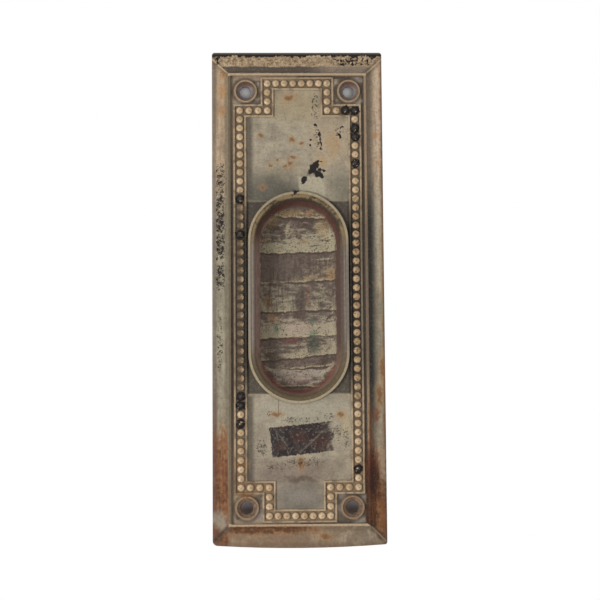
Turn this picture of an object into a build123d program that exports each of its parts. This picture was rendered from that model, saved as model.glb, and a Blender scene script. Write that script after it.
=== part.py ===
from build123d import *
import math
import os

# Pocket door pull, struck in one piece from sheet steel: a mitred frame, a beaded
# border with stepped corners, four countersunk screw holes and a drawn finger cup.
# Frame: +X right and +Z up as it hangs on the door, and the front faces -Y.
# Y = 0 is the door's face, and heights are measured from it towards the viewer.
# All sizes are in millimetres and all angles in degrees.

# Sheet and outline: the plate reaches a little further above its screw holes than below
sheet = 1.2
plate_width = 50.8
plate_height = 146.0
plate_rise = 0.7
bottom_bow = 0.9
corner_radius = 0.8
worn_corner_radius = 1.5
edge_round = 0.7

# Mitred frame: a flat margin, a sloping land, a cove and a narrow crest
edge_margin = 1.0
side_land = 0.9
end_land = 1.5
land_rise = 0.2
side_frame = 5.2
end_frame = 5.8
crest_width = 0.75
crest_height = 3.3
crest_round = 0.22

# Bead border: beads in a channel between two fine ridges, stepped in at the corners
column_inset = 3.1
row_inset = 2.65
corner_step = 8.2
ridge_offset = 1.65
ridge_width = 0.62
ridge_height = 0.5
ridge_bevel = 0.18
bead_pitch = 2.66
bead_width = 2.0
bead_height = 0.8
bead_crown = 1.0

# Countersunk screw holes with a raised lip, one in each step of the border
screw_side_inset = 1.75
screw_end_inset = 2.35
screw_hole_diameter = 3.4
countersink_diameter = 5.8
countersink_angle = 90.0
screw_lip_diameter = 6.8
screw_lip_height = 0.5
screw_seat_diameter = 6.4

# Finger cup with a fine lip around a rolled mouth
cup_straight = 33.0
mouth_width = 24.6
mouth_roll_width = 1.6
mouth_roll_depth = 2.0
rim_ledge = 0.15
rim_lip_width = 0.75
rim_lip_height = 0.3
rim_height = 3.0
cup_draft = 9.0
floor_depth = 6.2
floor_round_width = 3.4
floor_round_depth = 2.6
round_steps = 3

# Inner panel, with lower shoulders beside the cup
panel_height = 2.3
shoulder_inset = 2.9
shoulder_step = 0.2

# Hollow back
seat_width = 1.6
hollow_slope = 66.0

# Spans that follow from the sizes above, from the plate's edges inwards
frame_height = plate_height - 2 * plate_rise
crest_span = plate_width - 2 * side_frame
crest_length = frame_height - 2 * end_frame
column_span = crest_span - 2 * column_inset
end_row_length = crest_length - 2 * row_inset
end_row_span = column_span - 2 * corner_step
column_length = end_row_length - 2 * corner_step
screw_spacing_x = column_span - 2 * screw_side_inset
screw_spacing_z = end_row_length - 2 * screw_end_inset
mouth_roll_span = mouth_width + 2 * mouth_roll_width
rim_width = mouth_roll_span + 2 * (rim_ledge + rim_lip_width)
shoulder_length = cup_straight + rim_width - 2 * shoulder_inset

# Heights that follow from the sizes above
back_height = panel_height - sheet
shoulder_height = panel_height - shoulder_step
screw_lip_top = panel_height + screw_lip_height

# Section planes: across the plate and along it, with heights drawn upwards
across = Plane((0, 0, 0), x_dir=(1, 0, 0), z_dir=(0, 0, -1))
along = Plane((0, 0, 0), x_dir=(0, 0, 1), z_dir=(1, 0, 0))
across_at_end = Plane((0, 0, cup_straight / 2), x_dir=(1, 0, 0), z_dir=(0, 0, -1))


def front(height):
    """The plane parallel to the door at this height above its face."""
    return Plane.XZ.offset(height)


def frame_section(plane, reach, half_plate, land, crest_half):
    """The frame from edge to edge: flat margin, sloping land, cove and crest."""
    margin_end = (half_plate - edge_margin, sheet)
    land_end = (half_plate - edge_margin - land, sheet + land_rise)
    crest_outer = crest_half + crest_width / 2
    cove_end = (crest_outer, crest_height - crest_round)
    crest_start = (crest_outer - crest_round, crest_height)
    with BuildSketch(plane) as section:
        with BuildLine():
            Polyline((0, 0), (reach, 0), (reach, sheet), margin_end, land_end)
            TangentArc(land_end, cove_end, tangent=(-land, land_rise))
            TangentArc(crest_start, cove_end, tangent=(1, 0))
            Line(crest_start, (0, crest_height))
            mirror(about=Plane.YZ)
        make_face()
    return section.sketch


def stepped_panel(margin, mode=Mode.ADD):
    """Draw the border's stepped rectangle, this far outside the line of the beads."""
    Rectangle(column_span + 2 * margin, column_length + 2 * margin, mode=mode)
    Rectangle(end_row_span + 2 * margin, end_row_length + 2 * margin, mode=mode)


def bead_places():
    """Where beads stand along the stepped rectangle, as near the pitch as each run allows."""
    column_x, column_z = column_span / 2, column_length / 2
    row_x, row_z = end_row_span / 2, end_row_length / 2
    upper = [(row_x, row_z), (row_x, column_z), (column_x, column_z)]
    right = upper + [(x, -z) for x, z in reversed(upper)]
    corners = right + [(-x, z) for x, z in reversed(right)]
    middle = -panel_height - bead_height / 2
    places = []
    for (x, z), (next_x, next_z) in zip(corners, corners[1:] + corners[:1]):
        count = round(math.hypot(next_x - x, next_z - z) / bead_pitch)
        for i in range(count):
            places.append((x + (next_x - x) * i / count, middle, z + (next_z - z) * i / count))
    return places


def bead_facets(turn, mode=Mode.INTERSECT):
    """A four-sided frustum as tall as a bead, pointing out of the door."""
    near = (bead_width - bead_crown) / 2
    far = bead_width - near
    Wedge(bead_width, bead_height, bead_width, near, near, far, far, rotation=(180, turn, 0), mode=mode)


def quarter_round(centre, width, depth, start_angle):
    """Points along a quarter of an ellipse, counted anticlockwise from this angle."""
    angles = [math.radians(start_angle + 90 * i / round_steps) for i in range(round_steps + 1)]
    return [(centre[0] + width * math.cos(a), centre[1] + depth * math.sin(a)) for a in angles]


def cup_section(plane):
    """Half of the cup's wall, from the middle of the floor out to the rim's lip."""
    lean = math.tan(math.radians(cup_draft))
    wall = sheet / math.cos(math.radians(cup_draft))
    mouth_x, mouth_y = mouth_width / 2, rim_height - mouth_roll_depth
    roll_x = mouth_x + mouth_roll_width
    corner_y = floor_round_depth - floor_depth
    corner_x = mouth_x - (mouth_y - corner_y) * lean
    floor_x = corner_x - floor_round_width
    under_width, under_depth = floor_round_width + sheet, floor_round_depth + sheet
    under_x = corner_x + wall - under_width
    flange_x = mouth_x - (mouth_y - back_height) * lean + wall
    lip_outer, lip_top = rim_width / 2, rim_height + rim_lip_height
    floor_round = quarter_round((floor_x, corner_y), floor_round_width, floor_round_depth, 270)
    mouth_roll = quarter_round((roll_x, mouth_y), mouth_roll_width, mouth_roll_depth, 90)
    under_round = quarter_round((under_x, corner_y), under_width, under_depth, 270)
    with BuildSketch(plane) as section:
        with BuildLine():
            Polyline(
                (0, -floor_depth),
                *floor_round,
                *reversed(mouth_roll),
                (lip_outer - rim_lip_width, rim_height),
                (lip_outer - rim_lip_width, lip_top),
                (lip_outer, lip_top),
                (lip_outer, back_height),
                (flange_x, back_height),
                *reversed(under_round),
                (0, -floor_depth - sheet),
                close=True,
            )
        make_face()
    return section.sketch


# Frame body: two mitred sections crossed, trimmed to the outline and sunk inside the crest
with BuildPart() as frame_body:
    half_width, half_height = plate_width / 2, frame_height / 2
    top, bottom = plate_height - half_height, -half_height
    side_section = frame_section(across, half_width, half_width, side_land, crest_span / 2)
    extrude(side_section, amount=plate_height, both=True)
    end_section = frame_section(along, plate_height, half_height, end_land, crest_length / 2)
    extrude(end_section, amount=half_width, both=True, mode=Mode.INTERSECT)
    with BuildSketch(front(0)) as outline:
        with BuildLine():
            Polyline(
                (-half_width, bottom), (-half_width, top), (half_width, top), (half_width, bottom)
            )
            ThreePointArc((half_width, bottom), (0, bottom - bottom_bow), (-half_width, bottom))
        make_face()
        sound_corners = outline.vertices().sort_by_distance((-half_width, bottom))[1:]
        fillet(sound_corners, radius=corner_radius)
        worn_corner = outline.vertices().sort_by_distance((-half_width, bottom))[0]
        fillet(worn_corner, radius=worn_corner_radius)
    extrude(amount=crest_height, mode=Mode.INTERSECT)
    with BuildSketch(front(panel_height)):
        Rectangle(crest_span - crest_width, crest_length - crest_width)
    extrude(amount=crest_height - panel_height, mode=Mode.SUBTRACT)
    crest_face = frame_body.faces().sort_by(Axis.Y)[0]
    fillet(crest_face.inner_wires()[0].edges(), radius=crest_round)
    margin_face = frame_body.faces().filter_by(Axis.Y).sort_by(Axis.Y)[-2]
    fillet(margin_face.outer_wire().edges(), radius=edge_round)

# Bead channel: two fine ridges that follow the stepped rectangle
with BuildPart() as channel_ridges:
    for middle in (-ridge_offset, ridge_offset):
        with BuildSketch(front(back_height)):
            stepped_panel(middle + ridge_width / 2)
            stepped_panel(middle - ridge_width / 2, mode=Mode.SUBTRACT)
        extrude(amount=sheet + ridge_height)
    ridge_tops = channel_ridges.faces().filter_by(Axis.Y).group_by(Axis.Y)[0]
    chamfer(ridge_tops.edges(), length=ridge_bevel)

# Bead: an eight-sided stud, where two crossed frustums overlap
with BuildPart() as bead:
    bead_facets(turn=0, mode=Mode.ADD)
    bead_facets(turn=45)

# Screw seats: a raised lip in front, and a pad behind that reaches the door
with BuildPart() as screw_seats:
    with BuildSketch(front(0)):
        with GridLocations(screw_spacing_x, screw_spacing_z, 2, 2):
            Circle(screw_seat_diameter / 2)
    extrude(amount=panel_height)
    with BuildSketch(front(back_height)):
        with GridLocations(screw_spacing_x, screw_spacing_z, 2, 2):
            Circle(screw_lip_diameter / 2)
    extrude(amount=screw_lip_top - back_height)

# Finger cup: the wall's section drawn along the straight sides and turned at the round ends
with BuildPart() as cup:
    extrude(cup_section(across), amount=-cup_straight / 2)
    mirror(about=Plane.YZ)
    end_axis = Axis((0, 0, cup_straight / 2), (0, -1, 0))
    revolve(cup_section(across_at_end), axis=end_axis, revolution_arc=180)
    mirror(about=Plane.XY)

# Pull plate: the frame with its border, seats and cup, hollowed from behind
with BuildPart() as pull_plate:
    add(frame_body.part)
    add(channel_ridges.part)
    with BuildSketch(front(shoulder_height)):
        Rectangle(column_span - 2 * ridge_offset - ridge_width, shoulder_length)
    extrude(amount=shoulder_step, mode=Mode.SUBTRACT)
    with BuildSketch(front(0)):
        Rectangle(plate_width - 2 * seat_width, frame_height - 2 * seat_width)
    extrude(amount=back_height, taper=hollow_slope, mode=Mode.SUBTRACT)
    add(screw_seats.part)
    with Locations(front(screw_lip_top)):
        with GridLocations(screw_spacing_x, screw_spacing_z, 2, 2):
            CounterSinkHole(
                screw_hole_diameter / 2, countersink_diameter / 2, counter_sink_angle=countersink_angle
            )
    with BuildSketch(front(0)):
        SlotCenterToCenter(cup_straight, mouth_roll_span, rotation=90)
    extrude(amount=crest_height, mode=Mode.SUBTRACT)
    add(cup.part)
    with Locations(*bead_places()):
        add(bead.part)

pull_plate.part.label = "pull_plate"
os.makedirs("parts", exist_ok=True)
export_step(pull_plate.part, "parts/pull_plate.step")
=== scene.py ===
# %% [markdown]
# # An old pocket door pull
# The part is one struck plate of sheet steel. The solid already has its true shape, so this
# script only adds what the eye sees on it: layers of worn paint, dirt and rust, and round
# domes for the beads. Loading the frame first keeps every later piece in the plate's own axes.

# %% Load the frame and note its size
import math

import bpy
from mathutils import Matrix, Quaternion, Vector


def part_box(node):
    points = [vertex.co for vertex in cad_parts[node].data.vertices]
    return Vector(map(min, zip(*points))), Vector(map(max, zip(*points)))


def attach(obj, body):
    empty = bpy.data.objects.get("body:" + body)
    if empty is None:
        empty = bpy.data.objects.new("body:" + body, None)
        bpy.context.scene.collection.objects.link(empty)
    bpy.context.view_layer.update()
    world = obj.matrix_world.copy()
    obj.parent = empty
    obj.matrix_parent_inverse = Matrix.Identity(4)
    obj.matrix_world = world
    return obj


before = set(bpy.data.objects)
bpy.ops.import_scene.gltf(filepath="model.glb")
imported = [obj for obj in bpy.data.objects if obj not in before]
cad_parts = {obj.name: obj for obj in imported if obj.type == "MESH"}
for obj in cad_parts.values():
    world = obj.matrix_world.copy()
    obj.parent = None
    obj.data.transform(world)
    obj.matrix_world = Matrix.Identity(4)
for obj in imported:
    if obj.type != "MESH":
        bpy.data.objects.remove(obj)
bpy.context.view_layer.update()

MM = 0.001
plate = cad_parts["pull_plate"]
low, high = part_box("pull_plate")
print("plate spans", [round(span / MM, 2) for span in high - low], "mm")

# %% [markdown]
# ## Tools for building finishes
# A finish is built from nodes. They could be put together by hand in the editor, but a plate
# this worn takes many hundreds of them. A script does it with small tools: one turns a hex
# colour into linear light, and another adds a node with its settings and links.

# %% Colours and nodes
def linear(code):
    """Turn an sRGB hex colour into the linear values that a shader wants."""
    channels = [int(code[i:i + 2], 16) / 255 for i in (1, 3, 5)]
    return tuple(c / 12.92 if c <= 0.04045 else ((c + 0.055) / 1.055) ** 2.4 for c in channels) + (1.0,)


def feed(tree, socket, value):
    """Link a socket to another node's output, or set it to a plain value."""
    if isinstance(value, bpy.types.NodeSocket):
        tree.links.new(value, socket)
    else:
        socket.default_value = value


def add_node(tree, kind, inputs, output=0, **settings):
    """Add a node, set it up, feed its inputs, and give back one output, if it has any."""
    node = tree.nodes.new(kind if "Node" in kind else "ShaderNode" + kind)
    for name, value in settings.items():
        setattr(node, name, value)
    for socket, value in inputs.items():
        feed(tree, node.inputs[socket], value)
    return node.outputs[output] if node.outputs else None


print("cream #A8957A is", [round(c, 3) for c in linear("#A8957A")])

# %% [markdown]
# ## Round faces
# The struck rounds of the rim and the frame are stored as narrow flat facets. A real press
# leaves them smooth. Shading them smooth up to a limit angle keeps the crisp corners, and a
# modifier does it without touching the stored mesh.

# %% Shade the shallow facets smooth
CRISP_ANGLE = math.radians(40)
SEAM_WIDTH = 0.002 * MM


def smooth_by_angle(name, limit):
    """A modifier tree that joins the facets and keeps only the edges above the limit crisp."""
    tree = bpy.data.node_groups.new(name, "GeometryNodeTree")
    for way in ("INPUT", "OUTPUT"):
        tree.interface.new_socket("Geometry", in_out=way, socket_type="NodeSocketGeometry")
    mesh = add_node(tree, "NodeGroupInput", {})
    mesh = add_node(tree, "GeometryNodeMergeByDistance", {"Geometry": mesh, "Distance": SEAM_WIDTH})
    mesh = add_node(tree, "GeometryNodeSetShadeSmooth", {"Geometry": mesh})
    angle = add_node(tree, "GeometryNodeInputMeshEdgeAngle", {})
    shallow = add_node(tree, "FunctionNodeCompare", {0: angle, 1: limit}, operation="LESS_THAN")
    shading = {"Geometry": mesh, "Shade Smooth": shallow}
    mesh = add_node(tree, "GeometryNodeSetShadeSmooth", shading, domain="EDGE")
    add_node(tree, "NodeGroupOutput", {0: mesh})
    return tree


rounds = plate.modifiers.new("Smooth rounds", "NODES")
rounds.node_group = smooth_by_angle("Smooth rounds", CRISP_ANGLE)
print("facets under", round(math.degrees(CRISP_ANGLE)), "degrees are shaded smooth")

# %% [markdown]
# ## Coats and masks
# A worn finish is easiest to think of as coats laid over one another, each with a colour, a
# mask that says where it still is, and a thickness. It could be painted by hand on a picture.
# Masks drawn in millimetres on the plate need no picture and stay put from every side.

# %% Masks
class Masks:
    """Ways to say where on a surface a coat is, as nodes in one material's tree."""

    def __init__(self, tree):
        self.tree = tree

    def overlap(self, *masks):
        """Where all the masks are. A plain number among them thins the result."""
        total = masks[0]
        for mask in masks[1:]:
            total = add_node(self.tree, "Math", {0: total, 1: mask}, operation="MULTIPLY")
        return total

    def any_of(self, *masks):
        """Where at least one of the masks is."""
        total = masks[0]
        for mask in masks[1:]:
            total = add_node(self.tree, "Math", {0: total, 1: mask}, operation="MAXIMUM")
        return total

    def between(self, value, low=None, high=None, soft=0.1):
        """Where the value lies between low and high, with ends this soft."""
        ramp = {"interpolation_type": "SMOOTHSTEP", "clamp": False}
        steps = []
        for start, reach in ((low, soft), (high, -soft)):
            if start is not None:
                span = {0: value, 1: start - reach, 2: start + reach}
                steps.append(add_node(self.tree, "MapRange", span, **ramp))
        return self.overlap(*steps)


def tools_of(kind):
    """The names of a class's own tools."""
    return ", ".join(name for name in vars(kind) if not name.startswith("_"))


print("masks:", tools_of(Masks))


# %% Shapes drawn on the plate
class Shapes(Masks):
    """Masks drawn in mm on a plan, and ragged islands inside them."""

    def local_plan(self, plan, place, size, turn):
        """The plan seen from this place, scaled so that the size in mm reaches from -1 to 1."""
        if turn:
            pivot = {"Vector": plan, "Center": (*place, 0), "Angle": -math.radians(turn)}
            plan = add_node(self.tree, "VectorRotate", pivot, rotation_type="Z_AXIS")
        fit = [2 / span for span in size]
        shift = [-middle * factor for middle, factor in zip(place, fit)]
        fitted = {0: plan, 1: (*fit, 0), 2: (*shift, 0)}
        return add_node(self.tree, "VectorMath", fitted, operation="MULTIPLY_ADD")

    def oval(self, plan, place, size, turn=0.0, soft=0.3):
        """An oval with its middle at this place, this wide and tall in mm, turned in degrees."""
        local = self.local_plan(plan, place, size, turn)
        reach = add_node(self.tree, "VectorMath", {0: local}, output="Value", operation="LENGTH")
        return self.between(reach, high=1.0, soft=soft)

    def ovals(self, plan, marks, soft=0.3, grow=1.0):
        """Ovals for a list of (x, z, width, height, turn), all of them larger by one factor."""
        total = 0.0
        for x, z, width, height, turn in marks:
            mark = self.oval(plan, (x, z), (width * grow, height * grow), turn, soft)
            total = self.any_of(total, mark)
        return total

    def rectangle(self, plan, place, size, turn=0.0, soft=0.1):
        """A rectangle, given like an oval."""
        local = self.local_plan(plan, place, size, turn)
        local = add_node(self.tree, "VectorMath", {0: local}, operation="ABSOLUTE")
        reach = 0.0
        for axis in ((1, 0, 0), (0, 1, 0)):
            part = {0: local, 1: axis}
            part = add_node(self.tree, "VectorMath", part, output="Value", operation="DOT_PRODUCT")
            reach = self.any_of(reach, part)
        return self.between(reach, high=1.0, soft=soft)

    def islands(self, where, grain, cover, soft=0.05):
        """Ragged islands of a noise inside a mask. A cover near 0.5 fills half of it."""
        level = add_node(self.tree, "Math", {0: where, 1: cover, 2: grain}, operation="MULTIPLY_ADD")
        return self.between(level, low=1.0, soft=soft)


print("shapes:", tools_of(Shapes))


# %% Coats
class Coats(Shapes):
    """Coats of finish on one surface, from the first one up."""

    def __init__(self, name, colour, roughness):
        self.material = bpy.data.materials.new(name)
        self.material.use_nodes = True
        super().__init__(self.material.node_tree)
        self.colour = linear(colour)
        self.roughness = roughness
        self.relief = 0.0
        self.count = 1

    def lay(self, colour, *masks, strength=1.0, roughness=None, relief=0.0):
        """Lay a coat of this sRGB colour where all the masks are, this many mm proud."""
        tree = self.tree
        mask = self.overlap(*masks, strength) if strength < 1 else self.overlap(*masks)
        mixed = {0: mask, 6: self.colour, 7: linear(colour)}
        self.colour = add_node(tree, "Mix", mixed, output=2, data_type="RGBA")
        if roughness is not None:
            self.roughness = add_node(tree, "Mix", {0: mask, 2: self.roughness, 3: roughness})
        if relief:
            raised = {0: mask, 1: relief, 2: self.relief}
            self.relief = add_node(tree, "Math", raised, operation="MULTIPLY_ADD")
        self.count += 1

    def finish(self, edge_radius, specular):
        """Join the coats to the shader, with edges softened by this radius in mm."""
        tree = self.tree
        shader = tree.nodes["Principled BSDF"]
        shader.inputs["Specular IOR Level"].default_value = specular
        soft_edge = add_node(tree, "Bevel", {"Radius": edge_radius * MM}, samples=6)
        surface = {"Height": self.relief, "Distance": MM, "Normal": soft_edge}
        feed(tree, shader.inputs["Normal"], add_node(tree, "Bump", surface))
        feed(tree, shader.inputs["Base Color"], self.colour)
        feed(tree, shader.inputs["Roughness"], self.roughness)
        print(self.material.name, "has", self.count, "coats in", len(tree.nodes), "nodes")
        return self.material


print("coats:", tools_of(Coats))

# %% [markdown]
# ## Where things are on the plate
# Dirt and painted shade sit in grooves and paint wears off ridges, so the masks need to know the plate's
# layout. It could be read off the mesh face by face. It is simpler to work it out from a few sizes, in
# millimetres, which are the same ones that the solid is built from.

# %% Layout of the struck pattern
# Each pair is a distance across and a distance along, from the middle or from the line before
CREST = (20.2, 66.5)
BORDER_INSET = (3.1, 2.65)
CORNER_STEP = 8.2
SCREW_INSET = (1.75, 2.35)
CUP_STRAIGHT = 33.0
PANEL_HEIGHT = 2.3
BEAD_PITCH = 2.66
ON_LINE = 0.1
border_side = CREST[0] - BORDER_INSET[0]
border_end = CREST[1] - BORDER_INSET[1]
COLUMN = (border_side, border_end - CORNER_STEP)
END_ROW = (border_side - CORNER_STEP, border_end)
SCREW = (border_side - SCREW_INSET[0], border_end - SCREW_INSET[1])


def bead_places():
    """Where the beads stand, run by run around the stepped border from the upper right."""
    upper = [(END_ROW[0], END_ROW[1]), (END_ROW[0], COLUMN[1]), (COLUMN[0], COLUMN[1])]
    right = upper + [(x, -z) for x, z in reversed(upper)]
    corners = right + [(-x, z) for x, z in reversed(right)]
    places = []
    for (x, z), (next_x, next_z) in zip(corners, corners[1:] + corners[:1]):
        count = round(math.hypot(next_x - x, next_z - z) / BEAD_PITCH)
        for i in range(count):
            places.append((x + (next_x - x) * i / count, z + (next_z - z) * i / count))
    return places


# Beads that have lost their paint, counted down each column from its top corner
LEFT_BARE = (10, 14, 32, 33, 35)
RIGHT_BARE = (0, 2, 3, 6, 40)


def bare_beads(places):
    """The numbers of the beads that have lost their paint, with the one beside the top corner."""
    bare = set()
    for column_x, lost in ((-COLUMN[0], LEFT_BARE), (COLUMN[0], RIGHT_BARE)):
        column = [i for i, place in enumerate(places) if abs(place[0] - column_x) < ON_LINE]
        column.sort(key=lambda i: -places[i][1])
        bare.update(column[i] for i in lost)
        if column_x > 0:
            bare.add(column[0] - 1)
    return bare


places = bead_places()
bare = bare_beads(places)
print(len(places), "beads in the border,", len(bare), "of them bare")

# %% [markdown]
# ## Worn paint on the plate
# The plate was japanned black, then brushed with cream house paint that has gone grey. Paint
# of this age is chalky: it scatters light evenly and hardly shines. The first coat is that
# paint. Fields measured on the plate, such as the distance from the crest or from the line of
# beads, then say where the later coats go.

# %% Fields measured on the plate
paint = Coats("Chalky brushing paint over black japanned steel", "#9C917D", 0.72)
tree = paint.tree
place = add_node(tree, "TexCoord", {}, output="Object")


def in_mm(tree, place, axis):
    """How far a point lies along one axis of the plate, in mm."""
    metres = add_node(tree, "SeparateXYZ", {0: place}, output=axis)
    return add_node(tree, "Math", {0: metres, 1: 1 / MM}, operation="MULTIPLY")


x = in_mm(tree, place, "X")
z = in_mm(tree, place, "Z")
plan = add_node(tree, "CombineXYZ", {"X": x, "Y": z})
side = add_node(tree, "Math", {0: x}, operation="ABSOLUTE")
end = add_node(tree, "Math", {0: z}, operation="ABSOLUTE")


def box_distance(half):
    """How far a point lies outside a centred rectangle, and below 0 inside it."""
    across = add_node(tree, "Math", {0: side, 1: half[0]}, operation="SUBTRACT")
    along = add_node(tree, "Math", {0: end, 1: half[1]}, operation="SUBTRACT")
    return add_node(tree, "Math", {0: across, 1: along}, operation="MAXIMUM")


crest = box_distance(CREST)
stepped = {0: box_distance(COLUMN), 1: box_distance(END_ROW)}
border = add_node(tree, "Math", stepped, operation="MINIMUM")
past_straight = add_node(tree, "Math", {0: end, 1: CUP_STRAIGHT / 2}, operation="SUBTRACT")
past_straight = add_node(tree, "Math", {0: past_straight, 1: 0.0}, operation="MAXIMUM")
from_spine = add_node(tree, "CombineXYZ", {"X": x, "Y": past_straight})
cup = add_node(tree, "VectorMath", {0: from_spine}, output="Value", operation="LENGTH")
quarter = add_node(tree, "CombineXYZ", {"X": side, "Y": end})
from_screw = {0: quarter, 1: (*SCREW, 0)}
screw = add_node(tree, "VectorMath", from_screw, output="Value", operation="DISTANCE")
past_corner = add_node(tree, "Math", {0: side, 1: CREST[0] - CREST[1]}, operation="SUBTRACT")
mitre = add_node(tree, "Math", {0: end, 1: past_corner}, operation="SUBTRACT")
print("measured fields:", len(tree.nodes), "nodes")

# %% Grains of wear
# Each grain is a noise whose blotches are this many mm across, with its detail and harshness.
# Dust is really finer than a tenth of a millimetre and is drawn coarser so that it shows.
GRAINS = {
    "cloud": (14.0, 3.0, 0.5),
    "mottle": (3.0, 5.0, 0.6),
    "flake": (2.0, 6.0, 0.7),
    "fleck": (1.3, 3.0, 0.6),
    "grit": (0.8, 3.0, 0.55),
    "crumb": (1.0, 6.0, 0.85),
    "dust": (0.45, 1.0, 0.5),
}
grains = {}
for name, (width, detail, harshness) in GRAINS.items():
    look = {"Vector": place, "Scale": 1 / (width * MM), "Detail": detail, "Roughness": harshness}
    grains[name] = add_node(tree, "TexNoise", look)
cloud, mottle, flake, fleck, grit, crumb, dust = grains.values()
print("grains:", ", ".join(GRAINS))

# %% Marks of the brush
# Brush hairs leave marks about 0.7 mm apart: long ones down the sides and across the panel, and
# short slanting ones where the brush was scrubbed in the cup. Each one: size in mm and its slant.
HAIRS = {
    "down": ((0.7, 0.7, 8.0), 0),
    "across": ((7.0, 0.7, 0.7), 0),
    "scrubbed": ((3.6, 1.0, 0.9), 24),
}
drawn = {}
for name, (hair, slant) in HAIRS.items():
    look = {"Vector": place, "Rotation": (0, math.radians(slant), 0)}
    look["Scale"] = [1 / (span * MM) for span in hair]
    hairs = add_node(tree, "Mapping", look)
    drawn[name] = add_node(tree, "TexNoise", {"Vector": hairs, "Scale": 1.0, "Detail": 4.0})
drawn_down, drawn_across, scrubbed = drawn.values()
print("brush marks:", ", ".join(HAIRS))


# %% Plans with ragged edges
def shaken(width, detail, reach):
    """The plan moved about by a noise, so that what is drawn on it gets a ragged edge."""
    look = {"Vector": place, "Scale": 1 / (width * MM), "Detail": detail, "Roughness": 0.6}
    shake = add_node(tree, "TexNoise", look, output="Color")
    moved = {}
    for axis, channel, still in (("X", "Red", x), ("Y", "Green", z)):
        push = add_node(tree, "SeparateColor", {0: shake}, output=channel)
        push = add_node(tree, "Math", {0: push, 1: 0.5}, operation="SUBTRACT")
        moved[axis] = add_node(tree, "Math", {0: push, 1: reach, 2: still}, operation="MULTIPLY_ADD")
    return add_node(tree, "CombineXYZ", moved)


# From a crisp edge to a smeared one: width of the noise in mm, its detail, and its reach in mm
crisp_plan = shaken(0.6, 3.0, 1.2)
torn_plan = shaken(1.3, 4.0, 2.6)
smeared_plan = shaken(6.0, 3.0, 6.0)
print("fields and grains:", len(tree.nodes), "nodes")

# %% Paint tones
on_frame = paint.between(crest, low=0.6, soft=0.3)
inner_panel = paint.between(border, high=-1.9, soft=0.1)
upper_half = paint.between(z, low=0.0, soft=1.0)
lower_half = paint.between(z, high=0.0, soft=1.0)
left_half = paint.between(x, high=0.0, soft=1.0)
right_half = paint.between(x, low=0.0, soft=1.0)
paint.lay("#A79C88", paint.between(cloud, low=0.5, soft=0.12), strength=0.8)
paint.lay("#8A806E", paint.between(cloud, high=0.42, soft=0.1), strength=0.5)
paint.lay("#C0A384", on_frame, strength=0.85)
# The frame's tones: colour, side, lower end, upper end and how softly they fade
FRAME_TONES = (
    ("#8D8876", left_half, -44, 31, 14),
    ("#D3B99D", right_half, 30, 80, 10),
    ("#BDB39B", right_half, 4, 32, 8),
    ("#8F8772", right_half, -44, 2, 8),
)
for colour, half, foot, top, fade in FRAME_TONES:
    span = paint.between(z, low=foot, high=top, soft=fade)
    paint.lay(colour, on_frame, half, span, strength=0.85)
paint.lay("#746757", on_frame, paint.between(z, high=-66, soft=0.8), strength=0.8)
paint.lay("#746858", paint.between(mottle, high=0.43, soft=0.1), strength=0.45)
paint.lay("#B9AA90", paint.between(mottle, low=0.57, soft=0.08), strength=0.45)
paint.lay("#756653", paint.between(drawn_down, low=0.57, soft=0.08), on_frame, strength=0.4, relief=0.02)
paint.lay("#84765F", paint.between(drawn_across, low=0.59, soft=0.08), inner_panel, strength=0.3)
print("tones laid:", paint.count, "coats")

# %% Broad patches
# Patches that yellowed, greyed or stayed clean, and darker ones low on the lower panel that make it
# darker towards the bottom: colour, strength, x, z, width, height
PATCHES = (
    ("#A5926E", 0.5, 0.0, 57.0, 16.0, 10.0),
    ("#B29E82", 0.7, 9.0, 46.0, 11.0, 15.0),
    ("#AA8A62", 0.55, 10.3, 45.5, 4.2, 7.0),
    ("#B39468", 0.7, 6.8, 39.6, 4.6, 3.0),
    ("#A89A80", 0.5, -4.0, 38.0, 14.0, 6.0),
    ("#A8A08D", 0.8, 1.0, -33.0, 26.0, 8.0),
    ("#8E8372", 0.6, -11.0, -42.0, 6.0, 14.0),
    ("#B0A083", 0.8, 12.8, -38.0, 3.6, 8.0),
    ("#75645A", 0.65, -2.0, -51.5, 28.0, 7.0),
    ("#645C54", 0.8, 0.0, -59.0, 15.0, 9.0),
    ("#8C8277", 0.7, 0.1, -58.2, 9.5, 3.6),
    ("#54443A", 0.7, 0.6, -53.4, 8.0, 1.8),
)
for colour, strength, patch_x, patch_z, width, height in PATCHES:
    patch = paint.oval(smeared_plan, (patch_x, patch_z), (width, height), soft=0.6)
    paint.lay(colour, patch, inner_panel, strength=strength)
print("patches laid:", paint.count, "coats")

# %% [markdown]
# ### Dirt and painted shade in the low places
# A hundred years of hands and dusters leave dirt where a cloth can't reach, and some coats here are
# painted shade as well. Ambient occlusion finds narrow places by itself, and the layout fields add the
# grooves that are darkest, the shadows beside the ridges and the rim, and the coves that face away from
# the lamp.

# %% Shadows and grime on the panel
beyond_cup = paint.between(end, low=29, high=54, soft=0.6)
# Painted shadow that the left ridge casts along the panel's left edge, above and below the cup.
left_ridge_shadow = paint.between(x, low=-15.3, high=-13.4, soft=0.8)
paint.lay("#4C443B", left_ridge_shadow, inner_panel, beyond_cup, strength=0.8)
above_cup = paint.oval(smeared_plan, (-7.0, 30.0), (24, 13), soft=0.7)
paint.lay("#4B4A43", above_cup, inner_panel, strength=0.85)
right_lee = paint.oval(smeared_plan, (13.0, 32.0), (6, 12), soft=0.7)
paint.lay("#6F6A5C", right_lee, inner_panel, strength=0.7)
cleaned = paint.rectangle(crisp_plan, (4.2, 32.6), (7.6, 6.8), turn=4, soft=0.12)
paint.lay("#B0A68F", cleaned, inner_panel, strength=0.9)
shoulder = paint.between(cup, low=14.8, soft=0.05)
shoulder = paint.overlap(shoulder, paint.between(end, high=28.4, soft=0.1), inner_panel)
paint.lay("#3B342E", shoulder, strength=0.88)
step_line = paint.between(end, low=28.2, high=28.6, soft=0.15)
paint.lay("#8E8068", step_line, inner_panel, strength=0.6)
print("panel grime laid:", paint.count, "coats")
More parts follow.
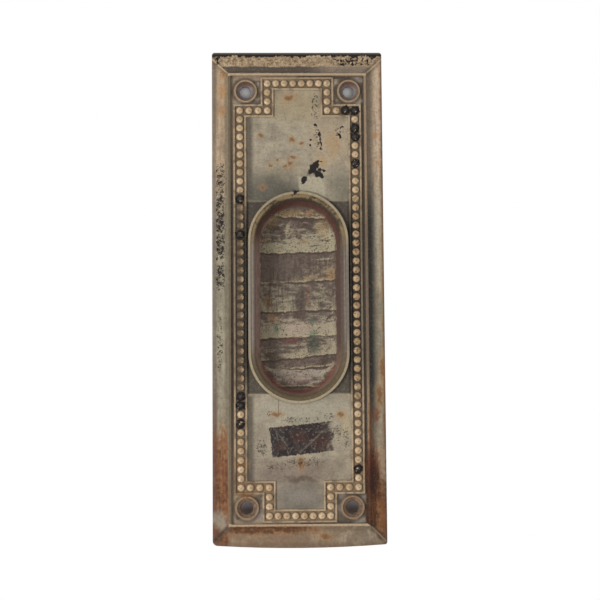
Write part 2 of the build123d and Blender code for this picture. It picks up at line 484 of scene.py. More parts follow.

# %% Dirt and painted shade in the grooves
channel = paint.between(border, low=-1.3, high=1.3, soft=0.12)
beside_cup = paint.between(end, high=26, soft=8)
paint.lay("#63523F", channel, strength=0.9, relief=0.03)
# Beside the cup the channel holds dirt and painted shade from the rim, with a deeper painted shadow of
# the rim on the right.
paint.lay("#352C25", channel, beside_cup, strength=0.75)
paint.lay("#1E1916", channel, beside_cup, right_half, strength=0.6)
paint.lay("#94795C", channel, paint.between(z, high=-44, soft=6), strength=0.65)
paint.lay("#83705A", channel, paint.between(z, low=54, soft=4), strength=0.55)
groove = paint.between(crest, low=-1.2, high=-0.38, soft=0.12)
paint.lay("#584C40", groove, strength=0.85)
paint.lay("#40372F", groove, right_half, strength=0.7)
print("grooves laid:", paint.count, "coats")

# %% Dirt in the screw corners
in_corner = paint.overlap(
    paint.between(border, low=1.9, soft=0.1),
    paint.between(crest, high=-0.5, soft=0.1),
    paint.between(end, low=57.2, soft=0.2),
)
paint.lay("#564A3F", in_corner, paint.between(mottle, high=0.58, soft=0.1), strength=0.9)
# Where a cloth still reached: x, z, width, height, turn
RUBBED_CORNERS = (
    (-14.6, 65.2, 5.0, 2.0, 0), (-18.2, 58.6, 2.6, 2.6, 0), (17.4, 64.6, 3.0, 2.4, 0),
    (18.0, 58.6, 3.0, 2.0, 0), (-11.6, -63.6, 2.6, 5.0, 0), (-15.0, -65.2, 7.0, 1.8, 0),
    (17.6, -65.0, 4.0, 2.0, 0), (11.8, -60.5, 1.8, 6.0, 0), (18.4, -58.4, 2.4, 2.2, 0),
)
paint.lay("#A0958A", paint.ovals(smeared_plan, RUBBED_CORNERS, soft=0.6), in_corner, strength=0.7)
print("corners laid:", paint.count, "coats")

# %% Dark coves of the frame
# Painted shade with dirt in the right cove, which faces away from the lamp, darkest near the crest beside
# the cup.
on_right = paint.between(x, low=20.5, soft=0.25)
paint.lay("#6A5D4E", on_right, paint.between(crest, high=2.3, soft=1.0), strength=0.8)
deep = paint.between(z, low=-34, high=30, soft=12)
paint.lay("#5C5850", on_right, paint.between(crest, high=3.0, soft=1.2), deep, strength=0.7)
paint.lay("#1B1B1C", on_right, paint.between(crest, high=1.9, soft=0.9), deep, strength=0.92)
wavering = add_node(tree, "Math", {0: flake, 1: 1.6, 2: crest}, operation="MULTIPLY_ADD")
on_top = paint.overlap(paint.between(z, low=66.2, soft=0.3), paint.between(mitre, low=0.0, soft=0.2))
# Painted shade in the top cove, which faces away from the lamp, darker to the left.
top_cove = paint.overlap(paint.between(wavering, low=1.2, high=3.6, soft=0.3), on_top)
paint.lay("#7A6E60", top_cove, strength=0.75)
paint.lay("#51473F", top_cove, paint.between(x, high=6.5, soft=4.5), strength=0.95)
left_shade = paint.between(crest, low=0.2, high=1.5, soft=0.4)
paint.lay("#5F5744", left_shade, paint.between(x, high=-19, soft=0.2), strength=0.7)
# Painted shade on the rounded left edge of the frame, a little darker near the top.
paint.lay("#6E635A", paint.between(x, high=-24.2, soft=0.4), strength=0.7)
upper_edge_shade = paint.overlap(paint.between(x, high=-23.7, soft=0.5), paint.between(z, low=50, soft=6))
paint.lay("#6E6052", upper_edge_shade, strength=0.4)
# Painted shadow under the crest along the bottom of the frame.
foot_shadow = paint.between(crest, high=1.6, soft=0.5)
paint.lay("#66543F", paint.between(z, high=-66.4, soft=0.2), foot_shadow, strength=0.5)
paint.lay("#6B5C4D", paint.between(x, low=24.8, soft=0.3), strength=0.6)
rusty_edge = paint.between(mottle, low=0.47, soft=0.06)
paint.lay("#7F5630", paint.between(x, low=24.4, soft=0.4), rusty_edge, strength=0.6)
# Ambient occlusion darkens the narrow places, for the dirt in them and as painted shade.
nook = {"Distance": 1.2 * MM, "Normal": add_node(tree, "NewGeometry", {}, output="Normal")}
narrow = add_node(tree, "AmbientOcclusion", nook, output="AO", samples=6, only_local=True)
paint.lay("#3A3027", paint.between(narrow, high=0.5, soft=0.25), strength=0.75)
# Painted light: the left groove is made paler towards the ends, lifting the lamp's shadow there.
lifted_groove = paint.between(crest, low=-1.7, high=-0.3, soft=0.2)
paint.lay("#9C8972", lifted_groove, left_half, paint.between(end, low=38, soft=14), strength=0.8)
print("coves laid:", paint.count, "coats")

# %% Worn edges, with painted shade beside the cup
crest_top = paint.between(crest, low=-0.36, high=0.36, soft=0.14)
paint.lay("#5E503E", crest_top, strength=0.85)
right_crest = paint.overlap(crest_top, paint.between(x, low=19.5, soft=0.2))
paint.lay("#A38A6F", right_crest, strength=0.75)
paint.lay("#5A4C3F", right_crest, beside_cup, strength=0.7)
paint.lay("#BDA486", crest_top, paint.between(end, low=66.0, soft=0.1), strength=0.9)
ridges = paint.any_of(
    paint.between(border, low=-1.98, high=-1.36, soft=0.12),
    paint.between(border, low=1.36, high=1.98, soft=0.12),
)
paint.lay("#B39B7E", ridges, strength=0.85)
paint.lay("#6A5845", ridges, paint.between(mottle, high=0.45, soft=0.06), strength=0.7)
# Painted shade on the ridges beside the cup, deeper on the right.
paint.lay("#6A5C4C", ridges, beside_cup, strength=0.6)
paint.lay("#5E584C", ridges, beside_cup, right_half, strength=0.5)
stained_foot = paint.overlap(paint.between(z, high=-48, soft=6), paint.between(x, high=-12, soft=5))
paint.lay("#7A5A42", channel, stained_foot, strength=0.5)
paint.lay("#6D523C", ridges, stained_foot, paint.between(cloud, low=0.42, soft=0.08), strength=0.7)
rim_shadow = paint.between(side, low=14.6, high=16.2, soft=0.35)
paint.lay("#14110F", rim_shadow, beside_cup, strength=0.92)
top_band = paint.overlap(paint.between(wavering, low=3.7, high=6.4, soft=0.3), on_top)
paint.lay("#A98E6C", top_band, strength=0.8, relief=0.08)
paint.lay("#CDB291", top_band, paint.between(crumb, low=0.51, soft=0.05), strength=0.8, relief=0.06)
paint.lay("#4A3B2A", top_band, paint.between(crumb, high=0.46, soft=0.04), strength=0.7)
print("edges laid:", paint.count, "coats")

# %% Screw seats
paint.lay("#473C32", paint.between(screw, low=3.4, high=4.3, soft=0.4), in_corner, strength=0.6)
screw_lip = paint.between(screw, low=2.9, high=3.45, soft=0.12)
paint.lay("#A98E70", screw_lip, strength=0.85)
paint.lay("#84694C", screw_lip, lower_half, strength=0.6)
countersink = paint.between(screw, high=2.9, soft=0.1)
paint.lay("#4E4039", countersink, strength=0.95)
paint.lay("#7A6A5D", countersink, upper_half, strength=0.7)
paint.lay("#8C8688", paint.between(screw, high=2.1, soft=0.4), upper_half, strength=0.8)
paint.lay("#5A3427", countersink, upper_half, paint.between(end, low=63.1, soft=0.8), strength=0.75)
paint.lay("#8F7660", paint.between(screw, low=1.9, high=2.8, soft=0.35), lower_half, strength=0.75)
paint.lay("#5F4535", countersink, lower_half, paint.between(fleck, high=0.48, soft=0.06), strength=0.7)
print("screw seats laid:", paint.count, "coats")

# %% [markdown]
# ### The finger cup
# Inside the cup the paint was dragged across in overlapping strokes over red primer. Each
# stroke is thin at its top and thick at its lower edge, so every stroke is one coat between
# two levels, and a noise breaks it up more where the paint is thin.

# %% Rim and wall
in_cup = paint.between(cup, high=13.2, soft=0.15)
cup_top = paint.between(z, low=17, soft=5)
cup_end = paint.between(z, high=-17, soft=5)
paint.lay("#675650", in_cup, strength=0.95)
# Painted light on the left side of the cup and painted shade on its right side, which even out the lamp's
# shading across the cup.
paint.lay("#B3978B", in_cup, paint.between(x, high=-8.5, soft=2), strength=0.85)
paint.lay("#4F403B", in_cup, paint.between(x, low=8.5, soft=2), strength=0.8)
red_ring = paint.between(cup, low=11.5, high=12.4, soft=0.3)
paint.lay("#5C332A", red_ring, cup_top, strength=0.85)
paint.lay("#9A7C69", in_cup, cup_end, strength=0.75)
paint.lay("#6F423A", red_ring, paint.between(mottle, low=0.5, soft=0.06), strength=0.4)
rim_roll = paint.between(cup, low=12.5, high=14.1, soft=0.2)
paint.lay("#77665F", rim_roll, strength=0.9)
paint.lay("#968A7C", paint.between(cup, low=13.2, high=14.1, soft=0.25), strength=0.8)
paint.lay("#54473F", rim_roll, right_half, strength=0.85)
bright_line = paint.between(cup, low=13.45, high=13.75, soft=0.2)
paint.lay("#9C8F80", bright_line, paint.between(end, high=15, soft=5), strength=0.5)
paint.lay("#8A734D", rim_roll, cup_top, strength=0.85)
paint.lay("#5F5139", rim_roll, cup_end, strength=0.9)
paint.lay("#33291F", paint.islands(paint.overlap(rim_roll, cup_top), flake, 0.5), strength=0.85)
paint.lay("#30261F", paint.between(cup, low=12.2, high=13.0, soft=0.25), cup_top, strength=0.85)
rim_lip = paint.between(cup, low=14.05, high=14.8, soft=0.12)
paint.lay("#A59577", rim_lip, strength=0.8)
beside_straight = paint.between(end, high=14, soft=5)
paint.lay("#8C847C", rim_lip, beside_straight, strength=0.75)
paint.lay("#5E544C", rim_lip, beside_straight, right_half, strength=0.55)
print("rim and wall laid:", paint.count, "coats")

# %% Strokes on the cup's floor
uneven = add_node(tree, "Math", {0: flake, 1: 2.4, 2: cup}, operation="MULTIPLY_ADD")
floor_zone = paint.between(uneven, high=12.5, soft=0.3)
paint.lay("#5E514A", floor_zone, strength=0.9)
paint.lay("#75675C", floor_zone, paint.between(flake, low=0.5, soft=0.1), strength=0.7)
broken = add_node(tree, "Mix", {0: 0.6, 2: flake, 3: scrubbed})
wavy = add_node(tree, "Math", {0: mottle, 1: 1.8, 2: -0.9}, operation="MULTIPLY_ADD")
# Each stroke: colour, top, lower edge, rise to the right, cover at the top and at the edge, lean
STROKES = (
    ("#AD9A74", 28.0, 24.9, -0.05, 0.30, 0.46, 0.10),
    ("#A69C82", 23.6, 14.2, 0.02, 0.34, 0.62, 0.06),
    ("#9C896A", 14.0, 5.3, 0.06, 0.14, 0.42, 0.18),
    ("#9C917A", 5.0, -3.4, 0.04, 0.36, 0.52, -0.04),
    ("#A89B84", -3.8, -11.2, 0.05, 0.36, 0.66, 0.0),
    ("#A2967E", -11.6, -17.4, 0.09, 0.34, 0.56, 0.06),
    ("#948472", -17.8, -20.6, 0.08, 0.30, 0.44, 0.0),
    ("#A59A8A", -21.0, -26.0, 0.0, 0.56, 0.34, 0.0),
)
patchy_lip = paint.between(mottle, low=0.46, soft=0.1)
ragged_shade = paint.between(flake, low=0.42, soft=0.14)
for colour, top, edge, rise, thin, thick, lean in STROKES:
    level = add_node(tree, "Math", {0: x, 1: -rise, 2: z}, operation="MULTIPLY_ADD")
    level = add_node(tree, "Math", {0: level, 1: wavy}, operation="ADD")
    thickness = {0: level, 1: top, 2: edge, 3: thin, 4: thick}
    cover = add_node(tree, "MapRange", thickness, clamp=False)
    cover = add_node(tree, "Math", {0: x, 1: lean / 12, 2: cover}, operation="MULTIPLY_ADD")
    cover = add_node(tree, "Math", {0: cover, 1: broken}, operation="ADD")
    span = paint.overlap(paint.between(level, low=edge, high=top, soft=0.12), floor_zone)
    paint.lay(colour, paint.between(cover, low=0.95, soft=0.1), span, relief=0.06)
    # Each stroke's thick lower edge is paler cream with a painted highlight, and a painted shadow lies
    # just under it.
    pale_lip_and_highlight = paint.between(level, low=edge, high=edge + 0.5, soft=0.2)
    paint.lay("#BBAB8A", pale_lip_and_highlight, floor_zone, patchy_lip, strength=0.7)
    lip_shadow = paint.between(level, low=edge - 0.6, high=edge, soft=0.25)
    paint.lay("#40312A", lip_shadow, floor_zone, ragged_shade, strength=0.85)
print(len(STROKES), "strokes laid:", paint.count, "coats")

# %% Marks in the strokes
# Drags of the brush that left paint and places it missed: x, z, width, height, turn
DRAGGED = (
    (8.0, 20.8, 6.5, 0.8, 40), (9.2, 19.2, 4.0, 0.7, 22), (6.0, 19.8, 4.6, 0.7, 48),
    (-8.6, 24.0, 6.4, 1.2, 34), (-9.8, 22.6, 3.0, 1.0, 60), (-3.0, 21.6, 3.6, 1.2, 70),
    (8.0, 12.2, 5.2, 0.5, 4), (8.2, -21.2, 6.0, 0.7, 32), (-8.4, -21.0, 4.6, 0.6, -34),
    (-3.4, -24.4, 7.0, 0.6, -18), (4.0, -25.0, 5.0, 0.5, 20),
)
paint.lay("#B3A68B", paint.ovals(crisp_plan, DRAGGED, soft=0.4), floor_zone, strength=0.75)
MISSED = (
    (3.2, 23.9, 12.0, 1.2, -4), (-7.4, 21.6, 6.0, 1.4, -14), (2.8, 22.0, 4.0, 1.8, 0),
    (0.3, 19.0, 2.4, 1.6, 20), (9.6, 22.4, 3.0, 2.0, -20), (-4.4, 19.3, 1.6, 3.0, 10),
    (8.3, 17.7, 3.4, 0.5, 5), (5.4, 16.2, 4.4, 0.4, 2), (-7.6, 25.0, 2.4, 1.0, 10),
    (0.8, -0.6, 3.6, 7.0, 0), (0.8, -5.0, 4.4, 2.6, 0), (-1.5, -12.2, 8.5, 1.2, 3),
    (-7.6, -17.0, 5.5, 3.0, -8), (8.6, -18.2, 6.0, 1.8, 12), (9.8, -5.0, 3.4, 0.6, 45),
    (9.4, -2.6, 3.4, 0.6, 45), (-8.6, -22.5, 2.0, 2.6, 40), (9.0, -23.0, 2.4, 4.0, -30),
)
paint.lay("#4E3F39", paint.ovals(torn_plan, MISSED, soft=0.3), floor_zone, strength=0.8)
# Tints of older colours: colour, strength and where they show
TINTS = (
    ("#7A4238", 0.6, (3.0, 1.0, 1.0, 6.4, 0), (-8.0, -24.6, 4.0, 1.4, 30), (-2.0, -12.3, 5.0, 1.0, 4)),
    ("#8E6038", 0.55, (-9.0, -0.6, 2.2, 3.4, 0), (-7.5, -5.4, 3.0, 2.6, 0), (2.1, 17.6, 1.8, 1.4, 0)),
    ("#8E6038", 0.5, (-9.8, 17.8, 1.8, 1.4, 0), (10.0, 7.2, 2.4, 3.0, 0), (3.6, 26.0, 3.0, 1.2, 0)),
    ("#4F7058", 0.6, (-6.6, -8.9, 1.4, 2.8, 0), (4.2, -6.3, 1.6, 1.8, 0), (4.4, -10.2, 2.6, 2.4, 0)),
    ("#2F3F34", 0.75, (4.8, -13.9, 3.4, 4.8, 0)),
    ("#A98C5E", 0.45, (-8.4, 23.8, 5.0, 4.0, 20), (-3.0, 26.2, 6.0, 2.0, 0), (7.6, 21.6, 4.0, 4.4, 0)),
    ("#B2998C", 0.4, (0.0, -8.8, 8.0, 4.0, 0), (-1.0, -23.6, 9.0, 3.0, 0)),
)
for colour, strength, *marks in TINTS:
    paint.lay(colour, paint.ovals(torn_plan, marks, soft=0.6), floor_zone, strength=strength)
smears = paint.overlap(paint.between(drawn_down, low=0.56, soft=0.06), floor_zone)
paint.lay("#4A3D36", smears, paint.between(z, low=-5, high=13, soft=2), strength=0.5)
pits = paint.between(dust, low=0.62, soft=0.05)
paint.lay("#3A302A", pits, floor_zone, paint.between(mottle, low=0.44, soft=0.06), strength=0.75)
drips = paint.overlap(paint.between(cup, low=10.4, high=11.8, soft=0.4), cup_end)
paint.lay("#83453A", paint.islands(drips, crumb, 0.55, soft=0.06), strength=0.7)
print("cup painted:", paint.count, "coats")

# %% [markdown]
# ### Rust, chips and stains
# Rust bleeds out of edges and grooves near the bottom, where the door was mopped. Chips show
# the black japan below, with hard ragged edges, and are a little lower than the paint.

# %% Rust
left_rust = paint.overlap(paint.between(x, high=-20.4, soft=0.8), paint.between(z, high=-32, soft=22))
right_rust = paint.overlap(paint.between(x, low=19.0, soft=1.0), paint.between(z, high=-41, soft=20))
right_rust = paint.overlap(right_rust, paint.between(mitre, high=0.3, soft=0.4))
bottom_left = paint.overlap(paint.between(z, high=-66.6, soft=0.6), paint.between(x, high=8, soft=14))
paint.lay("#86664A", bottom_left, strength=0.5)
under_crest = paint.overlap(bottom_left, paint.between(crest, high=3.2, soft=1.8))
rusty = paint.any_of(left_rust, right_rust, under_crest)
run_grain = add_node(tree, "Mix", {0: 0.7, 2: drawn_down, 3: flake})
broad_run = add_node(tree, "Mix", {0: 0.7, 2: drawn_down, 3: mottle})
paint.lay("#8A6340", paint.islands(rusty, broad_run, 0.7, soft=0.12), strength=0.8, roughness=0.85)
paint.lay("#A9845A", paint.islands(rusty, broad_run, 0.48, soft=0.06), strength=0.6, roughness=0.85)
paint.lay("#774A29", paint.islands(rusty, run_grain, 0.57, soft=0.08), strength=0.8, roughness=0.9)
paint.lay("#4A2F22", paint.islands(rusty, run_grain, 0.47, soft=0.05), strength=0.8, roughness=0.9)
paint.lay("#4F3A30", rusty, paint.between(side, low=24.2, soft=0.7), strength=0.5)
paint.lay("#6B3C2A", paint.islands(left_rust, mottle, 0.53, soft=0.08), strength=0.5, roughness=0.9)
paint.lay("#6A4438", left_rust, paint.between(x, high=-24.0, soft=0.5), strength=0.6)
washed = paint.overlap(paint.between(crest, low=2.4, soft=0.8), paint.between(z, low=-55, soft=5))
washed = paint.overlap(washed, right_rust)
paint.lay("#A08D76", paint.islands(washed, mottle, 0.7, soft=0.08), strength=0.7)
dark_run = paint.overlap(right_rust, paint.between(crest, high=2.2, soft=1.0))
paint.lay("#3E2417", paint.islands(dark_run, flake, 0.76, soft=0.16), strength=0.85, roughness=0.9)
paint.lay("#7C4A24", paint.islands(dark_run, drawn_down, 0.47, soft=0.06), strength=0.8, roughness=0.9)
print("rust laid:", paint.count, "coats")

# %% Rust in the right cove and the corners
# From a wide brown patch to its dark heart: colour, strength and where it runs
COVE_RUST = (
    ("#7A4A28", 0.75, (20.6, -40.0, 1.2, 18.0, 0), (24.0, -64.0, 1.8, 9.0, 0)),
    ("#7A4528", 0.8, (22.6, -34.6, 1.7, 4.2, -10)),
    ("#55291A", 0.85, (21.3, -51.5, 4.4, 15.0, 4), (23.4, -69.6, 2.0, 3.0, 45)),
    ("#301A12", 0.75, (21.5, -54.0, 3.0, 9.0, 3)),
)
for colour, strength, *runs in COVE_RUST:
    paint.lay(colour, paint.ovals(torn_plan, runs, soft=0.5), strength=strength, roughness=0.9)
paint.lay("#54351F", paint.islands(under_crest, flake, 0.58, soft=0.12), strength=0.8, roughness=0.9)
left_corner = paint.oval(smeared_plan, (-23.2, -65.2), (3.4, 5.0), soft=0.5)
paint.lay("#98907F", left_corner, strength=0.75)
paint.lay("#6E5745", paint.between(z, high=-71.6, soft=0.8), strength=0.6)
print("cove rust laid:", paint.count, "coats")

# %% Rust spots
# Spots where a drop of water sat: x, z, width, height, turn
RUST_SPOTS = (
    (-2.6, 59.5, 2.8, 1.6, 15), (-1.6, 46.9, 1.6, 1.7, 0), (-2.2, 39.7, 1.6, 1.8, 0),
    (-1.4, 41.6, 2.2, 0.7, 0), (-10.4, 32.6, 1.5, 1.2, 0), (-6.1, 40.8, 1.1, 0.8, 0),
    (-8.0, 39.2, 1.0, 1.0, 0), (-3.9, 38.9, 0.9, 0.9, 0), (-10.9, 48.3, 1.1, 1.1, 0),
    (1.2, 45.6, 1.3, 0.8, 0), (12.0, -34.6, 1.9, 1.6, 0), (-6.8, -34.4, 2.8, 1.1, 0),
    (-16.0, -57.8, 3.6, 0.9, 0), (7.3, -69.8, 2.8, 1.6, 0), (0.4, -48.6, 1.6, 3.0, 0),
    (24.4, -21.0, 1.2, 6.0, 0), (23.6, -29.0, 1.6, 5.0, 0), (-17.1, -49.0, 2.4, 2.2, 0),
)
paint.lay("#A17D55", paint.ovals(torn_plan, RUST_SPOTS, soft=0.6, grow=1.7), strength=0.55)
paint.lay("#79502C", paint.ovals(torn_plan, RUST_SPOTS, soft=0.5, grow=0.9), strength=0.8)
# Fainter spots high on the sides of the frame
FAINT_SPOTS = (
    (-22.1, 66.5, 2.0, 2.8, 0), (-22.3, 61.6, 2.4, 4.6, 0), (-22.5, 55.7, 2.2, 2.8, 0),
    (23.3, 48.6, 1.6, 2.0, 0), (24.0, 40.2, 1.2, 1.5, 0),
)
paint.lay("#AE7F4E", paint.ovals(torn_plan, FAINT_SPOTS, soft=0.7), strength=0.7)
print("rust spots laid:", paint.count, "coats")

# %% Mitred corners
# The folded corners carry a band of painted shade along each mitre, a painted highlight on the line at
# the top, and painted shade beside the line at the bottom, where the line gets a dimmer painted highlight
# on the right.
paint.lay("#57493B", paint.between(mitre, low=-1.3, high=1.3, soft=0.7), on_frame, strength=0.5)
mitre_highlight = paint.overlap(paint.between(mitre, low=-0.3, high=0.3, soft=0.25), on_frame)
paint.lay("#C2A985", mitre_highlight, upper_half, strength=0.9)
mitre_shade = paint.overlap(paint.between(mitre, low=-0.9, high=0.2, soft=0.4), on_frame)
paint.lay("#3B2A1F", mitre_shade, lower_half, strength=0.65)
paint.lay("#9A8166", mitre_highlight, lower_half, right_half, strength=0.7)
print("mitres laid:", paint.count, "coats")

# %% Fine grain
# Dust and grit keep the paint from looking sprayed.
paint.lay("#5F5548", paint.between(dust, low=0.58, soft=0.1), strength=0.22, relief=0.01)
paint.lay("#C4B9A4", paint.between(grit, high=0.4, soft=0.1), strength=0.08)
paint.lay("#564C40", paint.between(grit, low=0.6, soft=0.08), strength=0.25)
print("grain laid:", paint.count, "coats")

# %% Flecks and specks
# Runs of flecks down the left edge: upper end, lower end and how thick they stand
FLECK_RUNS = ((41, 29, 0.47), (31, 18, 0.495), (20, 10, 0.49), (11, 1, 0.485))
flecked = 0.0
for top, foot, cover in FLECK_RUNS:
    run = paint.overlap(paint.between(z, low=foot, high=top, soft=2.0), cover)
    flecked = paint.any_of(flecked, run)
flecked = paint.overlap(flecked, paint.between(x, low=-24.6, high=-21.3, soft=0.7))
chips = paint.islands(flecked, crumb, 1.0, soft=0.03)
ragged = add_node(tree, "Math", {0: flake, 1: 4.0, 2: z}, operation="MULTIPLY_ADD")
chips = paint.any_of(chips, paint.between(ragged, low=74.4, soft=0.15))
# Zones of torn paint in larger pieces, and zones of small specks: x, z, width, height, turn
TORN_ZONES = ((17.0, 71.0, 16.0, 4.0, 0), (-23.4, 71.2, 3.0, 4.0, 0))
SPECKLED_ZONES = (
    (12.4, 49.0, 3.4, 5.4, 20), (6.0, 48.0, 2.6, 9.0, 0), (5.4, 57.0, 3.4, 11.0, 0),
    (-23.2, -13.0, 2.4, 26.0, 0),
)
for zones, grain, cover in (
    (TORN_ZONES, fleck, 0.5), (SPECKLED_ZONES, crumb, 0.42), (SPECKLED_ZONES, dust, 0.36),
):
    worn = paint.islands(paint.ovals(plan, zones, soft=0.5), grain, cover, soft=0.03)
    chips = paint.any_of(chips, worn)
print(len(FLECK_RUNS), "runs of flecks")

# %% Chips down to the black japan
# Larger chips: x, z, width, height, turn. Each bare bead adds one around its foot.
BARE_FOOT = (2.7, 2.9)
CHIPS = (
    (4.6, 38.4, 2.2, 5.4, -38), (6.2, 36.4, 3.6, 1.7, -25), (1.9, 34.8, 1.5, 2.6, -30),
    (6.6, 37.8, 1.5, 1.1, 0), (7.7, 37.6, 1.0, 0.6, 0), (7.0, 40.5, 1.0, 0.5, 0),
    (-0.6, 31.2, 2.2, 1.0, 8), (6.7, 48.6, 1.0, 1.6, 0), (6.9, 46.0, 0.45, 4.4, 0),
    (5.6, 51.1, 0.7, 1.1, 20), (12.4, 48.2, 1.3, 1.1, -30), (13.2, 50.7, 0.8, 0.8, 0),
    (4.0, 46.7, 0.7, 0.7, 0), (3.9, 45.0, 0.8, 0.8, 0),
)
chips = paint.any_of(chips, paint.ovals(torn_plan, CHIPS, soft=0.15))
bare_marks = [(*places[i], *BARE_FOOT, 0) for i in sorted(bare)]
chips = paint.any_of(chips, paint.ovals(torn_plan, bare_marks, soft=0.15))
paint.lay("#1B1514", chips, roughness=0.65, relief=-0.08)
paint.lay("#8A7865", paint.between(z, low=73.1, soft=0.15), strength=0.5)
print("chips laid:", paint.count, "coats")

# %% Glue stain
# Old glue is brown-black and smooth. It thins out to the right, where it came off in crumbs.
stain = paint.rectangle(crisp_plan, (1.2, -41.7), (19.4, 8.8), turn=6, soft=0.06)
glue = paint.overlap(stain, paint.between(x, high=10.0, soft=5.0))
paint.lay("#2F2424", paint.islands(glue, mottle, 0.74, soft=0.1), strength=0.94, roughness=0.6)
paint.lay("#1B1518", paint.islands(glue, flake, 0.52, soft=0.08), strength=0.85, roughness=0.6)
BROWN_GLUE = ((0.0, -41.0, 5.0, 3.4, 0), (6.4, -42.6, 6.0, 4.6, 0), (-5.4, -44.0, 2.4, 2.0, 0))
paint.lay("#5A3526", paint.ovals(torn_plan, BROWN_GLUE, soft=0.7), glue, strength=0.33)
SCRATCHES = (
    (3.4, -42.6, 0.5, 11.0, -48), (-4.8, -42.0, 0.3, 6.0, 35), (-6.6, -40.6, 0.4, 3.6, 10),
    (-2.6, -45.0, 0.3, 3.0, -30), (6.6, -39.6, 2.2, 0.6, 10),
)
paint.lay("#8A7F70", paint.ovals(crisp_plan, SCRATCHES, soft=0.7), stain, strength=0.32)
paint.lay("#857A6B", paint.between(grit, high=0.4, soft=0.05), stain, strength=0.4)
print("glue laid:", paint.count, "coats")

# %% Spatter around the stain
# Crumbs of glue and dirt, coarse ones and fine ones: x, z, width, height, turn
SPATTER = (
    (-8.8, -34.2, 2.8, 2.4, 20), (-3.0, -36.0, 8.0, 2.4, 0), (2.5, -36.0, 10.0, 2.2, 3),
    (8.4, -35.0, 5.0, 3.2, 0), (10.6, -40.0, 5.0, 8.0, 0), (13.6, -41.0, 2.8, 10.0, 0),
    (-11.0, -44.0, 5.0, 8.0, 0), (-7.0, -50.0, 8.0, 3.6, 0), (1.0, -48.4, 18.0, 4.4, 0),
)
spattered = paint.overlap(paint.ovals(plan, SPATTER, soft=0.6), inner_panel)
paint.lay("#2E2522", paint.islands(spattered, crumb, 0.45, soft=0.04), strength=0.8)
paint.lay("#3E342D", paint.islands(spattered, dust, 0.4, soft=0.06), strength=0.75)
crack = paint.rectangle(plan, (-6.1, -32.6), (0.25, 4.8), soft=0.3)
paint.lay("#6B5844", crack, strength=0.7)
print("spatter laid:", paint.count, "coats")

# %% [markdown]
# ### The back
# Nobody painted the back. It kept its black japan, with rust coming through. It could have a
# material of its own, but then the stored faces would need sorting. The direction a face looks
# in, taken in the plate's own axes, tells the back from the front.

# %% Japan and rust on the back
facing = add_node(tree, "TexCoord", {}, output="Normal")
facing_x, facing_y, facing_z = (add_node(tree, "SeparateXYZ", {0: facing}, output=axis) for axis in "XYZ")
at_back = paint.between(facing_y, low=0.3, soft=0.2)
# The outside of the cup is back too. It lies behind the panel and looks away from the middle.
PANEL_BACK = -0.9
AROUND_CUP = (34, 68)
outward = add_node(tree, "CombineXYZ", {"X": facing_x, "Y": facing_z})
outward = add_node(tree, "VectorMath", {0: plan, 1: outward}, output="Value", operation="DOT_PRODUCT")
behind_panel = paint.between(in_mm(tree, place, "Y"), low=PANEL_BACK, soft=0.2)
around_cup = paint.oval(plan, (0, 0), AROUND_CUP, soft=0.04)
cup_outside = paint.overlap(paint.between(outward, low=4, soft=1), behind_panel, around_cup)
at_back = paint.any_of(at_back, cup_outside)
paint.lay("#2C2523", at_back, roughness=0.6)
paint.lay("#4A3226", at_back, paint.between(cloud, low=0.5, soft=0.12), strength=0.6, roughness=0.85)
paint.lay("#5B3B28", at_back, paint.between(mottle, low=0.6, soft=0.08), strength=0.6, roughness=0.9)

# The oil in the paint has an index near 1.5, the shader's default. Chalk halves its shine.
coat_of_plate = paint.finish(edge_radius=0.18, specular=0.25)
plate.data.materials.clear()
plate.data.materials.append(coat_of_plate)

# %% [markdown]
# ## Beads
# The beads are struck domes with cream paint left on them. The solid has eight-sided studs
# there, because round ones would cost it many faces, so a smooth dome covers each stud here.
# Every dome carries its own place and its state, and the shader uses them to paint a worn
# dot on top and dirt around the foot.

# %% Domes over the studs
DOME_RADIUS = 1.13
DOME_HEIGHT = 0.93
DOME_SIDES = 24
DOME_RINGS = 6


def dome_mesh(places, bare):
    """All the domes as one mesh, with the place on the dome and its state stored on each point."""
    points, faces, spots, states = [], [], [], []
    for index, (bead_x, bead_z) in enumerate(places):
        first = len(points)
        for ring in range(DOME_RINGS + 1):
            climb = math.pi / 2 * ring / DOME_RINGS
            radius, rise = math.cos(climb), math.sin(climb)
            for step in range(DOME_SIDES if ring < DOME_RINGS else 1):
                turn = 2 * math.pi * step / DOME_SIDES
                across, along = radius * math.cos(turn), radius * math.sin(turn)
                points.append((
                    (bead_x + DOME_RADIUS * across) * MM,
                    -(PANEL_HEIGHT + DOME_HEIGHT * rise) * MM,
                    (bead_z + DOME_RADIUS * along) * MM,
                ))
                spots.append((across, along, 0.0))
                states.append(1.0 if index in bare else 0.0)
        for ring in range(DOME_RINGS):
            for step in range(DOME_SIDES):
                here = first + ring * DOME_SIDES + step
                beside = first + ring * DOME_SIDES + (step + 1) % DOME_SIDES
                if ring < DOME_RINGS - 1:
                    faces.append((here, beside, beside + DOME_SIDES, here + DOME_SIDES))
                else:
                    faces.append((here, beside, first + DOME_RINGS * DOME_SIDES))
    mesh = bpy.data.meshes.new("beads")
    mesh.from_pydata(points, [], faces)
    mesh.shade_smooth()
    flat_spots = [part for spot in spots for part in spot]
    for name, kind, key, values in (
        ("spot", "FLOAT_VECTOR", "vector", flat_spots),
        ("bare", "FLOAT", "value", states),
    ):
        mesh.attributes.new(name, kind, "POINT").data.foreach_set(key, values)
    return mesh


beads = bpy.data.objects.new("beads", dome_mesh(places, bare))
bpy.context.scene.collection.objects.link(beads)
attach(beads, "root")
print("beads:", len(beads.data.polygons), "faces")

